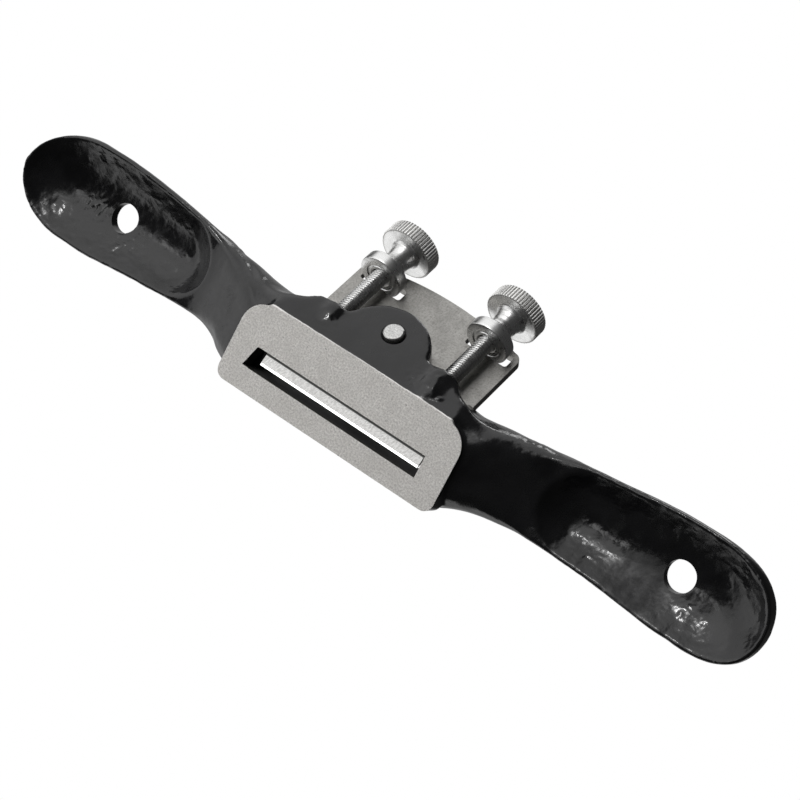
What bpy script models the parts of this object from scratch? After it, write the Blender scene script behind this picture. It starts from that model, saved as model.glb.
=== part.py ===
"""Flat-soled metal spokeshave with two screw-adjusted blade stops.

Frame: +X runs along the handles, +Y to the back (the blade leans that way), +Z up.
The sole lies on z = 0 and the origin is on the sole, ORIGIN_BACK behind the edge line.
Outlines are in millimetres, and their y is measured from the edge line.
"""

import math

import bmesh
import bpy
import numpy as np
from mathutils import Matrix, Vector

MM = 0.001
ORIGIN_BACK = 10.0
BED_ANGLE = math.radians(45.0)
BED_BACK = 3.54  # where the plane of the blade's underside meets the sole
GAP = 0.3  # between pieces that touch

# blade
BLADE_WIDTH = 54.0
BLADE_THICK = 2.3
BLADE_SHIFT = -1.15  # the blade sits a little to one side in the mouth
EDGE_HEIGHT = 0.1  # the edge rests just inside the sole
BEVEL_ANGLE = math.radians(30.0)
BLADE_REAR_RADIUS = 93.0
BLADE_REAR = 46.4
BLADE_CORNER = 3.0
SLOT_WIDTH = 13.7
SLOT_FROM = 37.45
SLOT_TO = 41.45
CENTRE_SLOT_HALF = 3.7
CENTRE_SLOT_FROM = 16.4
CENTRE_SLOT_TO = 27.0

# studs and nuts
STUD_X = 18.25
STUD_SHIFT = -1.15
STUD_BELOW = 4.3  # stud axis to the underside of the blade
STUD_RADIUS = 2.45
STUD_FROM = 8.0
STUD_TO = 54.4
NUT_FROM = 37.75
FLANGE_RADIUS = 6.75
FLANGE_THICK = 3.4
WHEEL_RADIUS = 8.3
WHEEL_FROM = 11.1
NUT_LENGTH = 15.6
NECK_WIDE = 4.0
NECK_WAIST = 3.5
CHAMFER = 0.4
KNURLS = 24
KNURL_STEPS = 3
KNURL_DEPTH = 0.35
RUNNING = 0.1  # clearance of a screw in its bore

# body
SOLE_HALF = 36.9
SOLE_FRONT = -8.5
SOLE_BACK = 16.4
SOLE_FRONT_CORNER = 3.0
SOLE_BACK_CORNER = 7.0
FOOT_HEIGHT = 6.0
SLAB_THICK = 8.9
SLAB_TOP = 0.7  # the slab's sides rise this far over the bed
SLAB_END = 20.7
SLAB_HALF = 31.0
LOBE_TOP = 0.5
LOBE_RADIUS = 13.9
LOBE_CENTRE = 16.7
BOSS_RADIUS = 6.0
BOSS_ROUND = 1.6
BOSS_ROOT = 4.5  # radius of the boss's buried start
BOSS_FROM = 9.0  # where up the bed the boss starts to swell out of the slab
MOUTH_HALF = 28.6
MOUTH_FRONT = -2.1
MOUTH_BACK = 4.4
TOE_HEIGHT = 12.0
TOE_HALF = 32.0
TOE_ROUND = 2.5
TOE_STRAIGHT = 10.8  # the mouth's front wall is upright to here, then leans forward
TOE_TOP = 3.8  # thickness of the toe wall at its top
MOUTH_FLARE = 2.0  # the +X end of the mouth opens by this much towards the toe
HOLE_X = {1: 93.1, -1: 98.4}
HOLE_Y = 10.3
HOLE_RADIUS = 4.35

# handles, as distances from the middle of the shave
# handles: each row is a distance from the middle, then the front edge and the back edge there
EDGES = {
    1: (
        (27.0, -8.5, 19.9),
        (34.0, -8.6, 19.4),
        (37.0, -8.2, 19.5),
        (40.0, -7.1, 19.75),
        (43.5, -5.75, 20.15),
        (47.0, -3.7, 20.5),
        (51.0, -2.3, 20.9),
        (57.0, -1.4, 21.75),
        (64.0, -1.1, 23.3),
        (72.0, -1.65, 24.55),
        (81.0, -2.3, 25.7),
        (90.0, -3.2, 26.45),
        (98.0, -3.8, 26.85),
        (106.0, -3.8, 26.75),
    ),
    -1: (
        (27.0, -8.5, 19.9),
        (34.0, -8.2, 19.0),
        (37.0, -6.8, 19.35),
        (40.0, -5.6, 19.7),
        (43.5, -4.5, 20.1),
        (47.0, -3.8, 20.4),
        (51.0, -3.2, 20.9),
        (57.0, -2.6, 21.45),
        (64.0, -2.15, 22.7),
        (72.0, -2.25, 23.65),
        (81.0, -2.6, 24.7),
        (90.0, -3.2, 25.75),
        (98.0, -3.85, 26.25),
        (106.0, -4.0, 26.2),
    ),
}
HANDLE_ROOT = 27.0
NECK = 57.0
WIDEST = 106.0
TIP = {1: 127.1, -1: 126.1}
TIP_POWER = {1: 1.95, -1: 2.3}  # power of the tip's rounded plan
TIP_DRIFT = {1: -0.04, -1: -0.07}  # the middle line's slope towards the front beyond WIDEST
HANDLE_END = 126.6
RIM_ROOT = 0.5  # the handle's lower edge where it leaves the sole block
RIM_RISE = 10.0
RIM_DROOP = 0.8
RISE_FROM = 32.0
RISE_TO = 60.0
RISE_SOFT = 7.0  # length of the bend at each end of the rise
CROWN_ROOT = 19.0
CROWN_RISE = 0.5
CROWN_START = 92.0
CROWN_DROOP = 4.5
WALL_ROOT = 10.5  # upright edge at the body, at the neck, along the handle and at the tip
WALL_NECK = 4.5
WALL_THIN = 1.2
WALL_TIP = 4.4
EDGE_ROUND = 0.8
DOME_POWER = 0.95
RIM_WIDTH = 0.7
HOLLOW_DEPTH = 7.0
HOLLOW_START = 58.0
HOLLOW_RUN = 11.0
HOLLOW_POWER = 1.15

# lever cap and its screws
SCREW_X = -0.8
SCREW_AT = 21.7
SCREW_RADIUS = 2.85
SCREW_HEAD = 5.3
SCREW_HEAD_HEIGHT = 3.2
PIN_PROUD = 1.1
CAP_HALF = 25.0
CAP_REAR_HALF = 8.5
CAP_FROM = 0.6
CAP_TO = 38.5
CAP_TOP = 6.6
CAP_HOLLOW = 1.4
CAP_LIP = 1.0  # thickness of the cap at its front lip
KEYHOLE_SLIDE = 8.0
KEYHOLE_RADIUS = 5.9
KEYHOLE_NARROW = 3.15
THUMB_AT = 33.0
THUMB_RADIUS = 2.35
THUMB_HEAD = 5.5
THUMB_TOP = 11.0
THUMB_UNDER = 7.2
DRIVER_HALF = 0.6
DRIVER_DEPTH = 1.4

BED_START = Vector((0.0, BED_BACK - ORIGIN_BACK, 0.0))
ACROSS = Vector((1.0, 0.0, 0.0))
ALONG = Vector((0.0, math.cos(BED_ANGLE), math.sin(BED_ANGLE)))
ABOVE = ACROSS.cross(ALONG)


def clear_scene():
    for obj in list(bpy.data.objects):
        bpy.data.objects.remove(obj, do_unlink=True)


def axes_matrix(origin, first, second, third):
    """World matrix, in metres, of a frame whose origin is given in millimetres."""
    matrix = Matrix.Identity(4)
    for column, axis in enumerate((first, second, third)):
        for row in range(3):
            matrix[row][column] = axis[row]
    for row in range(3):
        matrix[row][3] = origin[row] * MM
    return matrix


def bed_point(across, along, above):
    """A point given from the blade's underside: across X, up the bed, and off the bed."""
    return BED_START + ACROSS * across + ALONG * along + ABOVE * above


def bed_frame(across=0.0, along=0.0, above=0.0):
    return axes_matrix(bed_point(across, along, above), ACROSS, ALONG, ABOVE)


def along_frame(across, along, above):
    """Frame whose Z runs up the bed."""
    return axes_matrix(bed_point(across, along, above), ACROSS, -ABOVE, ALONG)


def mesh_object(name, points, faces, matrix=None):
    """An object from points in millimetres of its own frame."""
    mesh = bpy.data.meshes.new(name)
    mesh.from_pydata([tuple(c * MM for c in p) for p in points], [], faces)
    work = bmesh.new()
    work.from_mesh(mesh)
    bmesh.ops.remove_doubles(work, verts=work.verts, dist=1e-7)
    bmesh.ops.recalc_face_normals(work, faces=work.faces)
    work.to_mesh(mesh)
    work.free()
    obj = bpy.data.objects.new(name, mesh)
    bpy.context.scene.collection.objects.link(obj)
    if matrix is not None:
        obj.matrix_world = matrix
    return obj


def prism(name, outline, low, high, matrix=None):
    """Outline in the frame's XY plane, extruded along its Z from low to high."""
    count = len(outline)
    points = [(x, y, low) for x, y in outline] + [(x, y, high) for x, y in outline]
    faces = [list(range(count))[::-1], list(range(count, 2 * count))]
    for i in range(count):
        j = (i + 1) % count
        faces.append([i, j, count + j, count + i])
    return mesh_object(name, points, faces, matrix)


def side_prism(name, outline, low, high):
    """Outline of (y from the edge, z) extruded along X."""
    matrix = axes_matrix((0.0, -ORIGIN_BACK, 0.0), Vector((0, 1, 0)), Vector((0, 0, 1)), ACROSS)
    return prism(name, outline, low, high, matrix)


def turned(name, profile, segments, matrix, hollow=False, waved=()):
    """Profile of (radius, height) turned about the frame's Z, with flat ends.

    A hollow profile closes on itself. Points of the profile listed in waved carry the knurl.
    """
    points = []
    for index, (radius, height) in enumerate(profile):
        for k in range(segments):
            angle = 2.0 * math.pi * k / segments
            at = radius
            if index in waved:
                at -= KNURL_DEPTH * 0.5 * (1.0 + math.cos(KNURLS * angle))
            points.append((at * math.cos(angle), at * math.sin(angle), height))
    faces = []
    last = len(profile) - 1
    for lower in range(len(profile) if hollow else last):
        upper = (lower + 1) % len(profile)
        for k in range(segments):
            j = (k + 1) % segments
            a, b = lower * segments, upper * segments
            faces.append([a + k, b + k, b + j, a + j])
    if not hollow:
        faces.append(list(range(segments)))
        faces.append(list(range(last * segments, (last + 1) * segments)))
    return mesh_object(name, points, faces, matrix)


def cylinder(name, radius, low, high, matrix, segments=48):
    return turned(name, [(radius, low), (radius, high)], segments, matrix)


def combine(base, others, operation):
    """Boolean of base with each of the others, made real; the others are removed."""
    for other in others:
        modifier = base.modifiers.new("cut", "BOOLEAN")
        modifier.operation = operation
        modifier.solver = "EXACT"
        modifier.object = other
        bpy.context.view_layer.update()
        graph = bpy.context.evaluated_depsgraph_get()
        made = bpy.data.meshes.new_from_object(base.evaluated_get(graph))
        base.modifiers.clear()
        base.data = made
        bpy.data.objects.remove(other, do_unlink=True)
    return base


def arc(centre, radius, start, end, steps):
    """Points on an arc, angles in degrees."""
    points = []
    for k in range(steps + 1):
        angle = math.radians(start + (end - start) * k / steps)
        points.append((centre[0] + radius * math.cos(angle), centre[1] + radius * math.sin(angle)))
    return points


def smooth(value):
    value = min(1.0, max(0.0, value))
    return value * value * (3.0 - 2.0 * value)


def ease(x, start, run):
    """0 before start, 1 after start + run, and smooth in between."""
    return smooth((x - start) / run)


def ramp(x, start, end, soft):
    """0 before start, 1 after end, and straight in between apart from a bend at each end."""

    def area(run):
        if run <= 0.0:
            return 0.0
        return run * run / (2.0 * soft) if run < soft else run - soft / 2.0

    return (area(x - start) - area(x - end + soft)) / (end - start - soft)


def curve(x, places, values):
    """Smooth curve through the values at the given places."""
    slopes = np.gradient(values, places)
    i = min(max(int(np.searchsorted(places, x)) - 1, 0), len(places) - 2)
    run = places[i + 1] - places[i]
    share = min(1.0, max(0.0, (x - places[i]) / run))
    value = values[i] + (values[i + 1] - values[i]) * smooth(share)
    leave = slopes[i] * share * (1.0 - share) ** 2
    arrive = slopes[i + 1] * share**2 * (share - 1.0)
    return value + run * (leave + arrive)


def handle_plan(x, side, inset=0.0):
    """The handle's middle and half its width, front to back, at a distance x from the middle."""
    places, fronts, backs = (np.array(column) for column in zip(*EDGES[side]))
    front = curve(min(x, WIDEST), places, fronts)
    back = curve(min(x, WIDEST), places, backs)
    beyond = max(0.0, x - WIDEST)
    mid = 0.5 * (front + back) + TIP_DRIFT[side] * beyond
    power = TIP_POWER[side]
    out = beyond / (TIP[side] - inset - WIDEST)
    half = (0.5 * (back - front) - inset) * max(0.0, 1.0 - out**power) ** (1.0 / power)
    return mid, half


def rim_height(x):
    """Height of the handle's lower edge."""
    out = max(0.0, x - NECK) / (HANDLE_END - NECK)
    rise = ramp(x, RISE_FROM, RISE_TO, RISE_SOFT)
    return RIM_ROOT + (RIM_RISE - RIM_ROOT) * rise - RIM_DROOP * out**2


def crown_height(x):
    """Height of the top of the handle."""
    out = max(0.0, x - CROWN_START) / (HANDLE_END - CROWN_START)
    return CROWN_ROOT + CROWN_RISE * ease(x, 40.0, 28.0) - CROWN_DROOP * out**2


def wall_height(x):
    """Height of the upright edge between the lower rim and the domed top."""
    wall = WALL_ROOT + (WALL_NECK - WALL_ROOT) * ease(x, 34.0, NECK - 34.0)
    wall += (WALL_THIN - WALL_NECK) * ease(x, NECK, 8.0)
    return wall + (WALL_TIP - WALL_THIN) * ease(x, 98.0, 26.0)


def edge_round(x):
    """Radius of the lower edge, larger where the handle flows into the foot."""
    return EDGE_ROUND + 5.5 * (1.0 - ease(x, 45.0, 16.0)) + 3.4 * (1.0 - ease(x, 34.0, 8.0))


def hollow_depth(x, side, across):
    """Depth of the thumb hollow under the handle, at a distance across from its middle."""
    _, reach = handle_plan(x, side, RIM_WIDTH)
    if reach <= 0.0:
        return 0.0
    end = max(0.0, (HOLLOW_START + HOLLOW_RUN - x) / HOLLOW_RUN)
    share = (across / reach) ** 2 + end**2
    if share >= 1.0:
        return 0.0
    out = max(0.0, x - WIDEST) / (TIP[side] - RIM_WIDTH - WIDEST)
    return HOLLOW_DEPTH * (1.0 - out**2.5) * (1.0 - share) ** HOLLOW_POWER


def handle_section(x, side, over, under):
    """One closed loop of (y, z) round the handle: over the top, then back underneath."""
    mid, half = handle_plan(x, side)
    low = rim_height(x)
    high = low + wall_height(x)
    loop = []
    for k in range(over + 1):
        angle = math.pi * k / over
        share = math.copysign(abs(math.cos(angle)) ** DOME_POWER, math.cos(angle))
        lift = math.sin(angle) ** DOME_POWER if 0 < k < over else 0.0
        loop.append((mid + half * share, high + (crown_height(x) - high) * lift))
    radius = min(edge_round(x), half)
    for k in range(1, under):
        share = -math.cos(math.pi * k / under)
        inside = max(0.0, 1.0 - half * (1.0 - abs(share)) / radius)
        edge = (high - low) * (1.0 - math.sqrt(1.0 - inside**2))
        loop.append((mid + half * share, low + edge + hollow_depth(x, side, half * share)))
    return loop


def handle(name, side):
    """One handle as a loft of sections along X, from inside the sole block to the tip."""
    over = 14
    under = 20
    spread = np.linspace(0.0, 1.0, 20)
    stations = list(np.linspace(HANDLE_ROOT, NECK, 12))
    stations += [NECK + 1.4 + (WIDEST - NECK - 1.4) * t**1.5 for t in spread]
    tip = [math.sin(0.5 * math.pi * k / 11) for k in range(1, 11)] + [0.996, 0.9995]
    stations += [WIDEST + (TIP[side] - WIDEST) * t for t in tip]
    points = []
    faces = []
    count = over + under
    for x in stations:
        points += [(side * x, y - ORIGIN_BACK, z) for y, z in handle_section(x, side, over, under)]
    for i in range(len(stations) - 1):
        a, b = i * count, (i + 1) * count
        for k in range(count):
            j = (k + 1) % count
            faces.append([a + k, a + j, b + j, b + k])
    faces.append(list(range(count)))
    last = (len(stations) - 1) * count
    faces.append([last + k for k in range(count)])
    return mesh_object(name, points, faces)


def sole_outline():
    """Plan of the ground sole, as (x, y from the origin)."""
    front, back = SOLE_FRONT_CORNER, SOLE_BACK_CORNER
    outline = arc((SOLE_HALF - front, SOLE_FRONT + front), front, -90, 0, 5)
    outline += [(SOLE_HALF, 4.0)]
    outline += arc((SOLE_HALF - back, SOLE_BACK - back - 0.8), back, 0, 82, 7)
    outline += [(SOLE_HALF - 13.0, SOLE_BACK - 0.3), (0.0, SOLE_BACK)]
    mirrored = [(-x, y) for x, y in outline[-2::-1]]
    return [(x, y - ORIGIN_BACK) for x, y in outline + mirrored]


def stud_place(side):
    """Where a stud's axis crosses the blade's width."""
    return side * STUD_X + STUD_SHIFT


def casting():
    """The foot, the bed's slab and lobe, the stud bosses and the two handles, joined."""
    under = MOUTH_FRONT + FOOT_HEIGHT
    toe = [(SOLE_FRONT, -1.0), (under, -1.0), (under, TOE_HEIGHT)]
    toe += arc((SOLE_FRONT + TOE_ROUND, TOE_HEIGHT - TOE_ROUND), TOE_ROUND, 90, 180, 4)
    core = side_prism("body_casting", toe, -TOE_HALF, TOE_HALF)
    foot = prism("foot", sole_outline(), -1.5, FOOT_HEIGHT)
    plan = [(SLAB_HALF, -12.0), (SLAB_HALF, 16.2), (28.0, 17.0), (25.2, 18.4)]
    plan += [(23.0, SLAB_END - 0.5), (20.5, SLAB_END)]
    plan += [(-x, y) for x, y in reversed(plan)]
    slab = prism("slab", plan, 0.04 - SLAB_THICK, SLAB_TOP, bed_frame())
    lobe = cylinder("lobe", LOBE_RADIUS, -SLAB_THICK, LOBE_TOP, bed_frame(0.0, LOBE_CENTRE), 56)
    parts = [foot, slab, lobe]
    end = SLAB_END + 0.1
    boss = [(BOSS_ROOT, 4.0), (BOSS_ROOT, BOSS_FROM), (BOSS_RADIUS, BOSS_FROM + 2.5)]
    boss += [(BOSS_RADIUS, end - BOSS_ROUND)]
    boss += [(BOSS_RADIUS - 0.3 * BOSS_ROUND, end - 0.3 * BOSS_ROUND), (BOSS_RADIUS - BOSS_ROUND, end)]
    for side in (1, -1):
        frame = along_frame(stud_place(side), 0.0, -STUD_BELOW)
        parts.append(turned("boss", boss, 30, frame))
        parts.append(handle("handle", side))
    return combine(core, parts, "UNION")


def body():
    back = MOUTH_BACK
    high = 60.0
    start = BED_BACK + GAP * math.sqrt(2.0)
    throat = [(MOUTH_FRONT, -2.0), (back, -2.0), (back, back - start), (start + high, high)]
    throat += [(SOLE_FRONT + TOE_TOP + 0.7, high), (SOLE_FRONT + TOE_TOP, TOE_HEIGHT)]
    throat += [(MOUTH_FRONT, TOE_STRAIGHT)]
    cuts = []
    for side in (1, -1):
        hole = (side * HOLE_X[side], HOLE_Y - ORIGIN_BACK, 0.0)
        spot = axes_matrix(hole, ACROSS, Vector((0, 1, 0)), Vector((0, 0, 1)))
        cuts.append(cylinder("hang_hole", HOLE_RADIUS, 0.0, 40.0, spot, 40))
    cuts.append(side_prism("throat", throat, -MOUTH_HALF, MOUTH_HALF))
    flare = [(MOUTH_HALF - 1.0, MOUTH_FRONT + 0.1), (MOUTH_HALF + MOUTH_FLARE, MOUTH_FRONT + 0.1)]
    flare += [(MOUTH_HALF + 0.1, back - 0.2), (MOUTH_HALF - 1.0, back - 0.2)]
    flare = [(x, y - ORIGIN_BACK) for x, y in flare]
    cuts.append(prism("flare", flare, -2.0, 5.0))
    screw = bed_frame(SCREW_X, SCREW_AT)
    cuts.append(cylinder("screw_bore", SCREW_RADIUS + RUNNING, -20.0, 5.0, screw))
    for side in (1, -1):
        bore = along_frame(stud_place(side), 0.0, -STUD_BELOW)
        cuts.append(cylinder("stud_bore", STUD_RADIUS + RUNNING, STUD_FROM - 0.4, 40.0, bore, 44))
    below = [(-60.0, -40.0), (60.0, -40.0), (60.0, 0.0), (-60.0, 0.0)]
    cuts.append(side_prism("floor", below, -60.0, 60.0))
    return combine(casting(), cuts, "DIFFERENCE")


def blade():
    """The cutter, drawn in the bed's frame; its bevel faces the bed."""
    edge = EDGE_HEIGHT * math.sqrt(2.0) - BLADE_THICK
    slope = math.tan(BEVEL_ANGLE)
    heel = edge + BLADE_THICK / slope
    half = BLADE_WIDTH / 2.0
    centre = BLADE_REAR - BLADE_REAR_RADIUS
    side_end = centre + math.sqrt(BLADE_REAR_RADIUS**2 - (half - BLADE_CORNER) ** 2) - BLADE_CORNER
    rear = math.degrees(math.asin((half - BLADE_CORNER) / BLADE_REAR_RADIUS))
    outline = [(-half, edge), (half, edge)]
    outline += arc((half - BLADE_CORNER, side_end), BLADE_CORNER, 0, 70, 5)
    outline += arc((0.0, centre), BLADE_REAR_RADIUS, 90 - rear, 90 + rear, 16)
    outline += arc((BLADE_CORNER - half, side_end), BLADE_CORNER, 110, 180, 5)
    plate = prism("blade", outline, 0.0, BLADE_THICK, bed_frame(BLADE_SHIFT))
    reach = half + 1.0
    wedge = [(heel + 1.0 / slope, -1.0), (edge - 1.0 / slope, BLADE_THICK + 1.0), (edge - 6.0, -1.0)]
    side = axes_matrix(bed_point(BLADE_SHIFT, 0.0, 0.0), ALONG, ABOVE, ACROSS)
    cuts = [prism("bevel", wedge, -reach, reach, side)]
    for sign in (1, -1):
        at = stud_place(sign) - BLADE_SHIFT
        cuts.append(rounded_slot("slot", at, SLOT_WIDTH / 2.0, SLOT_FROM, SLOT_TO, 0.8))
    at = SCREW_X - BLADE_SHIFT
    cuts.append(rounded_slot("centre_slot", at, CENTRE_SLOT_HALF, CENTRE_SLOT_FROM, CENTRE_SLOT_TO, 3.6))
    return combine(plate, cuts, "DIFFERENCE")


def rounded_slot(name, across, half, start, end, corner):
    """Cutter for a slot through the blade with round corners."""
    outline = arc((across + half - corner, start + corner), corner, -90, 0, 5)
    outline += arc((across + half - corner, end - corner), corner, 0, 90, 5)
    outline += arc((across - half + corner, end - corner), corner, 90, 180, 5)
    outline += arc((across - half + corner, start + corner), corner, 180, 270, 5)
    return prism(name, outline, -2.0, 12.0, bed_frame(BLADE_SHIFT))


def lever_cap():
    """Cap over the blade; it bears at its front lip and lifts off over the screw's head."""
    face = BLADE_THICK + GAP
    hollow = face + CAP_HOLLOW
    frame = bed_frame(SCREW_X)
    flank = [(CAP_HALF, CAP_FROM), (CAP_HALF, CAP_FROM + 7.0), (CAP_HALF - 1.2, 13.0)]
    flank += [(CAP_HALF - 5.0, 18.5), (15.5, 23.5), (11.0, 28.0)]
    plan = list(flank)
    plan += arc((0.0, CAP_TO - CAP_REAR_HALF), CAP_REAR_HALF, 10, 170, 16)
    plan += [(-x, y) for x, y in reversed(flank)]
    cap = prism("lever_cap", plan, 0.0, 20.0, frame)
    side = axes_matrix(bed_point(0.0, 0.0, 0.0), ALONG, ABOVE, ACROSS)
    beyond = CAP_TO + 4.0
    keep = [(-4.0, face), (CAP_FROM + 1.6, face), (5.0, hollow), (beyond, hollow)]
    keep += [(beyond, CAP_TOP - 0.6), (28.0, CAP_TOP), (12.0, CAP_TOP), (6.5, CAP_TOP - 0.5)]
    keep += [(CAP_FROM, face + CAP_LIP), (-4.0, face + CAP_LIP)]
    combine(cap, [prism("keep", keep, -40.0, 40.0, side)], "INTERSECT")
    wide = SCREW_AT - KEYHOLE_SLIDE
    cuts = [cylinder("keyhole", KEYHOLE_RADIUS, 0.0, 20.0, bed_frame(SCREW_X, wide))]
    narrow = [(-KEYHOLE_NARROW, wide), (KEYHOLE_NARROW, wide)]
    narrow += arc((0.0, SCREW_AT), KEYHOLE_NARROW, 0, 180, 14)
    cuts.append(prism("keyway", narrow, 0.0, 20.0, frame))
    thumb = bed_frame(SCREW_X, THUMB_AT)
    cuts.append(cylinder("thumb_bore", THUMB_RADIUS + RUNNING, 0.0, 20.0, thumb))
    return combine(cap, cuts, "DIFFERENCE")


def cap_screw():
    """Slotted screw that holds the cap; its plain end comes out under the lobe."""
    under = CAP_TOP + GAP
    tip = -SLAB_THICK - PIN_PROUD
    top = under + SCREW_HEAD_HEIGHT
    profile = [(SCREW_RADIUS - GAP, tip), (SCREW_RADIUS, tip + GAP), (SCREW_RADIUS, under)]
    profile += [(SCREW_HEAD, under), (SCREW_HEAD, top - 2.0 * CHAMFER), (SCREW_HEAD - 2.0 * CHAMFER, top)]
    frame = bed_frame(SCREW_X, SCREW_AT)
    screw = turned("cap_screw", profile, 48, frame)
    reach = SCREW_HEAD + 2.0
    driver = [(-reach, -DRIVER_HALF), (reach, -DRIVER_HALF), (reach, DRIVER_HALF), (-reach, DRIVER_HALF)]
    slot = prism("driver_slot", driver, top - DRIVER_DEPTH, top + 2.0, frame)
    return combine(screw, [slot], "DIFFERENCE")


def cap_thumbscrew():
    """Knurled screw at the cap's rear that presses on the blade."""
    tip = BLADE_THICK + GAP
    under = THUMB_UNDER
    profile = [(THUMB_RADIUS - CHAMFER, tip), (THUMB_RADIUS, tip + CHAMFER), (THUMB_RADIUS, under)]
    profile += [(THUMB_HEAD - CHAMFER, under), (THUMB_HEAD, under + CHAMFER)]
    profile += [(THUMB_HEAD, THUMB_TOP - CHAMFER), (THUMB_HEAD - CHAMFER, THUMB_TOP)]
    frame = bed_frame(SCREW_X, THUMB_AT)
    return turned("cap_thumbscrew", profile, KNURLS * KNURL_STEPS, frame, waved=(3, 4, 5, 6))


def stud(name, side):
    frame = along_frame(stud_place(side), 0.0, -STUD_BELOW)
    profile = [(STUD_RADIUS, STUD_FROM), (STUD_RADIUS, STUD_TO - 0.6), (STUD_RADIUS - 0.6, STUD_TO)]
    return turned(name, profile, 48, frame)


def nut(name, side):
    """Adjusting nut: a flange that works in the blade's slot, a waisted neck and a knurled wheel."""
    bore = STUD_RADIUS + RUNNING
    flange = FLANGE_THICK
    wheel = WHEEL_FROM
    end = NUT_LENGTH
    profile = [(bore, 0.0), (FLANGE_RADIUS - CHAMFER, 0.0), (FLANGE_RADIUS, CHAMFER)]
    profile += [(FLANGE_RADIUS, flange), (NECK_WIDE, flange), (NECK_WIDE, flange + 1.2)]
    profile += [(NECK_WAIST, flange + 2.2), (NECK_WAIST, flange + 3.8), (NECK_WIDE, flange + 5.2)]
    profile += [(NECK_WIDE, wheel - 0.6), (NECK_WIDE + 0.8, wheel), (WHEEL_RADIUS - 0.5, wheel)]
    profile += [(WHEEL_RADIUS, wheel + 0.5), (WHEEL_RADIUS, end - 0.6), (WHEEL_RADIUS - 0.6, end)]
    profile += [(bore, end)]
    frame = along_frame(stud_place(side), NUT_FROM, -STUD_BELOW)
    return turned(name, profile, KNURLS * KNURL_STEPS, frame, hollow=True, waved=(12, 13))


def material(name, colour, metallic, roughness, coat=0.0):
    made = bpy.data.materials.new(name)
    made.use_nodes = True
    shader = made.node_tree.nodes["Principled BSDF"]
    shader.inputs["Base Color"].default_value = (*colour, 1.0)
    shader.inputs["Metallic"].default_value = metallic
    shader.inputs["Roughness"].default_value = roughness
    shader.inputs["Coat Weight"].default_value = coat
    return made


def finish(obj, made, angle):
    obj.data.materials.clear()
    obj.data.materials.append(made)
    obj.data.shade_smooth()
    obj.data.set_sharp_from_angle(angle=math.radians(angle))


def main():
    clear_scene()
    enamel = material("black_enamel", (0.012, 0.012, 0.013), 0.0, 0.22, 0.6)
    steel = material("ground_steel", (0.42, 0.41, 0.39), 1.0, 0.38)
    bright = material("bright_steel", (0.62, 0.62, 0.61), 1.0, 0.25)
    finish(body(), enamel, 32)
    finish(blade(), steel, 20)
    finish(lever_cap(), enamel, 30)
    finish(cap_screw(), bright, 30)
    finish(cap_thumbscrew(), bright, 30)
    for label, side in (("left", 1), ("right", -1)):
        finish(stud("stud_" + label, side), bright, 30)
        finish(nut("nut_" + label, side), bright, 30)


main()
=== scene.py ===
"""Looks of a flat-soled metal spokeshave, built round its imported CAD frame.

Frame: +X runs along the handles, +Y to the back (the cutter leans that way), +Z up; the sole is z = 0.
Shapes are worked out in millimetres and turned into metres when a mesh is made. In the outlines
below y is measured from the line of the cutting edge, which lies ORIGIN_BACK in front of the origin.
"""

import math

import bmesh
import bpy
import numpy as np
from mathutils import Matrix, Vector, noise

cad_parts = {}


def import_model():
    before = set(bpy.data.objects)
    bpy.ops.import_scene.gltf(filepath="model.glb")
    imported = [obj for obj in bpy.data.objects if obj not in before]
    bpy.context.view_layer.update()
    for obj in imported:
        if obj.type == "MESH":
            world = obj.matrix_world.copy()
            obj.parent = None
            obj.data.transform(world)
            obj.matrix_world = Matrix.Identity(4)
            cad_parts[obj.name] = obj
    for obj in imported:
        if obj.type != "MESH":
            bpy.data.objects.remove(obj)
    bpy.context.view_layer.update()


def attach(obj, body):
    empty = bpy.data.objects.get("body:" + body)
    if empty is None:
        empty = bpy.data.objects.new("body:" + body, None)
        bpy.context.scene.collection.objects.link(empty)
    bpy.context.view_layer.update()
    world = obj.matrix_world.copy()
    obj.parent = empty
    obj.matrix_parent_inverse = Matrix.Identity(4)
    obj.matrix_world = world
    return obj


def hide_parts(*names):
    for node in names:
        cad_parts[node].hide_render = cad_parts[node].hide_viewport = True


MM = 0.001
ORIGIN_BACK = 10.0
BED_ANGLE = math.radians(45.0)
BED_BACK = 3.54
GAP = 0.3

# cutter
BLADE_WIDTH = 54.0
BLADE_THICK = 2.3
BLADE_SHIFT = -1.15
EDGE_HEIGHT = 0.1
BEVEL_ANGLE = math.radians(30.0)
HONE_ANGLE = math.radians(37.0)
HONE_WIDTH = 0.75
# height on the bevel, in millimetres, below which its heel gets a painted shade
HEEL_PAINTED_SHADE = 0.56
BLADE_REAR_RADIUS = 93.0
BLADE_REAR = 46.4
BLADE_CORNER = 3.0
SLOT_WIDTH = 13.7
SLOT_FROM = 37.45
SLOT_TO = 41.45
CENTRE_SLOT_HALF = 3.7
CENTRE_SLOT_FROM = 16.4
CENTRE_SLOT_TO = 27.0

# studs and nuts
STUD_X = 18.25
STUD_SHIFT = -1.15
STUD_BELOW = 4.3
STUD_RADIUS = 2.45
STUD_FROM = 8.0
STUD_TO = 54.4
THREAD_PITCH = 0.8
THREAD_DEPTH = 0.42
THREAD_CHAMFER = 0.7
NUT_FROM = 37.75
FLANGE_RADIUS = 6.75
FLANGE_THICK = 3.4
WHEEL_RADIUS = 8.3
WHEEL_FROM = 11.1
NUT_LENGTH = 15.6
NECK_WIDE = 4.0
NECK_WAIST = 3.5
KNURLS = 56
KNURL_DEPTH = 0.42
KNURL_RIM = 0.6
RUNNING = 0.1

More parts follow.
